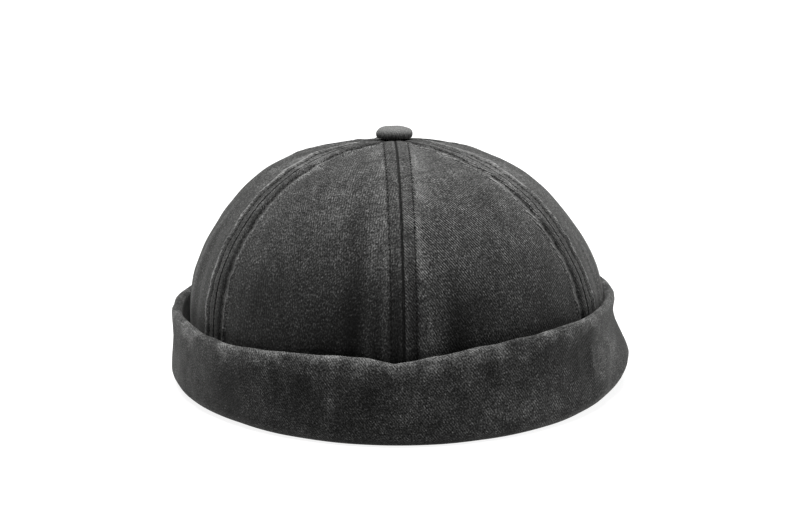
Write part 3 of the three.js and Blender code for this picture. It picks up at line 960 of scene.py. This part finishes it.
def buildStitchRow(number, side):
    # straight to begin with: one stitch and its needle hole, repeated, then bent along the seam
    s = stitching
    pitch = s["pitch"]
    path, normals = stitchPath(number, side)
    lengths = lengthsOf(path)
    count = int(lengths[-1] / pitch) - 1
    bm = bmesh.new()
    bmesh.ops.create_uvsphere(bm, u_segments=6, v_segments=5, radius=1)
    bmesh.ops.rotate(bm, verts=bm.verts[:], matrix=Matrix.Rotation(math.pi / 2, 3, "Y"))
    bmesh.ops.scale(bm, verts=bm.verts[:], vec=(s["length"] / 2, s["width"] / 2, s["height"] / 2))
    # the needle hole: a small sphere painted dark, as painted shade in the hole
    hole = bmesh.ops.create_uvsphere(bm, u_segments=6, v_segments=5, radius=s["holeWidth"] / 2)["verts"]
    bmesh.ops.translate(bm, verts=hole, vec=(pitch / 2, 0, 0))
    bmesh.ops.spin(bm, geom=bm.verts[:] + bm.edges[:] + bm.faces[:], axis=(0, 0, 1), angle=0,
                   dvec=(pitch, 0, 0), steps=count, use_duplicate=True)
    row = meshFrom(bm, "stitch_row")
    straight = readPlaces(row)
    at = straight[:, 0] + pitch / 2

    def followed(values):
        return np.stack([np.interp(at, lengths, values[:, k]) for k in range(3)], -1)

    out = unit(followed(normals))
    forward = unit(followed(unit(np.gradient(path, axis=0))))
    sideways = np.cross(out, forward)
    writePlaces(row, followed(path) + sideways * straight[:, 1:2] + out * straight[:, 2:3])
    fromStitch = np.abs(at % pitch - pitch / 2)
    inHole = fromStitch > pitch / 2 - s["holeWidth"] * 0.51  # a little over its radius
    # painted shade in the needle holes, and the thread's own tone
    return row, np.where(inHole & (fromStitch > s["length"] / 2), s["holeShade"], s["threadFade"])


def buildStitching():
    bm = bmesh.new()
    shades = []
    for number in range(len(seams)):
        for side in (-1, 1):
            row, shade = buildStitchRow(number, side)
            bm.from_mesh(row)
            shades.append(shade)
            bpy.data.meshes.remove(row)
    mesh = meshFrom(bm, "topstitching")
    places = readPlaces(mesh) / mm
    wearAndShade = heightFadeAndLight(places[:, 2]) + np.concatenate(shades)
    addClothMap(mesh, places[:, 0] + places[:, 1], places[:, 2], wearAndShade)
    addPiece(mesh, "topstitching", threadCotton)


buildStitching()
print("stage: topstitching laid")

# Studio: a pale floor that glows like a light table, which keeps the shadow under the rim pale,
# a large soft light above and a little light from the front and the side. The camera and the
# floor's drop are in mm, and the lights in metres.
studio = {
    "elevation": 14, "azimuth": -3, "distance": 1900, "target": (-1.5, 0, 48), "mmPerPixel": 0.41,
    "aimPixels": (1.5, 1.5), "imageWidth": 794, "sensor": 36,
    "floorDrop": 0.2, "floorColour": (0.3, 0.3, 0.3, 1), "floorGlow": 0.88, "airLight": 0.13,
    "aim": (0, 0, 0.05),
    "lights": [
        {"name": "top_softbox", "place": (-0.15, 0.15, 1.9), "size": (1.6, 1.3), "power": 64},
        {"name": "front_fill", "place": (0.6, -2.2, 1.1), "size": (1.4, 1.0), "power": 4.5},
        {"name": "side_fill", "place": (1.7, -0.5, 0.9), "size": (1.0, 1.2), "power": 9},
    ],
}


def addHolder(name, data, place, aim):
    holder = bpy.data.objects.new(name, data)
    holder.location = place
    holder.rotation_euler = aim.to_track_quat("-Z", "Y").to_euler()
    scene.collection.objects.link(holder)
    return holder


def buildCamera():
    elevation, azimuth = math.radians(studio["elevation"]), math.radians(studio["azimuth"])
    level = math.cos(elevation)
    forward = Vector((-math.sin(azimuth) * level, math.cos(azimuth) * level, -math.sin(elevation)))
    sideways = Vector((math.cos(azimuth), math.sin(azimuth), 0))
    upward = sideways.cross(forward)
    target = Vector(studio["target"])
    place = target - forward * studio["distance"]
    right, above = (pixels * studio["mmPerPixel"] for pixels in studio["aimPixels"])
    aim = (target + sideways * right + upward * above - place).normalized()
    camera = bpy.data.cameras.new("camera")
    camera.sensor_width = studio["sensor"]
    camera.lens = studio["distance"] / studio["mmPerPixel"] / studio["imageWidth"] * studio["sensor"]
    scene.camera = addHolder("camera", camera, place * mm, aim)


def addSoftbox(row):
    light = bpy.data.lights.new(row["name"], "AREA")
    light.shape = "RECTANGLE"
    light.size, light.size_y = row["size"]
    light.energy = row["power"]
    addHolder(row["name"], light, row["place"], Vector(studio["aim"]) - Vector(row["place"]))


def buildStudio():
    bm = bmesh.new()
    bmesh.ops.create_grid(bm, x_segments=8, y_segments=8, size=6)
    bmesh.ops.translate(bm, verts=bm.verts[:], vec=(0, 0, -studio["floorDrop"] * mm))
    mesh = meshFrom(bm, "floor")
    floor = bpy.data.objects.new("floor", mesh)
    scene.collection.objects.link(floor)
    paint = bpy.data.materials.new("pale_floor")
    paint.use_nodes = True
    setValues(paint.node_tree.nodes["Principled BSDF"], {
        "Base Color": studio["floorColour"], "Roughness": 0.9, "Specular IOR Level": 0.1,
        "Emission Color": (1, 1, 1, 1), "Emission Strength": studio["floorGlow"],
    })
    mesh.materials.append(paint)
    for row in studio["lights"]:
        addSoftbox(row)
    world = bpy.data.worlds.new("studio_air")
    world.use_nodes = True
    setValues(world.node_tree.nodes["Background"], {"Color": (1, 1, 1, 1), "Strength": studio["airLight"]})
    scene.world = world
    scene.view_settings.view_transform = "Standard"
    scene.view_settings.look = "None"


buildCamera()
buildStudio()
print("stage: studio lit")
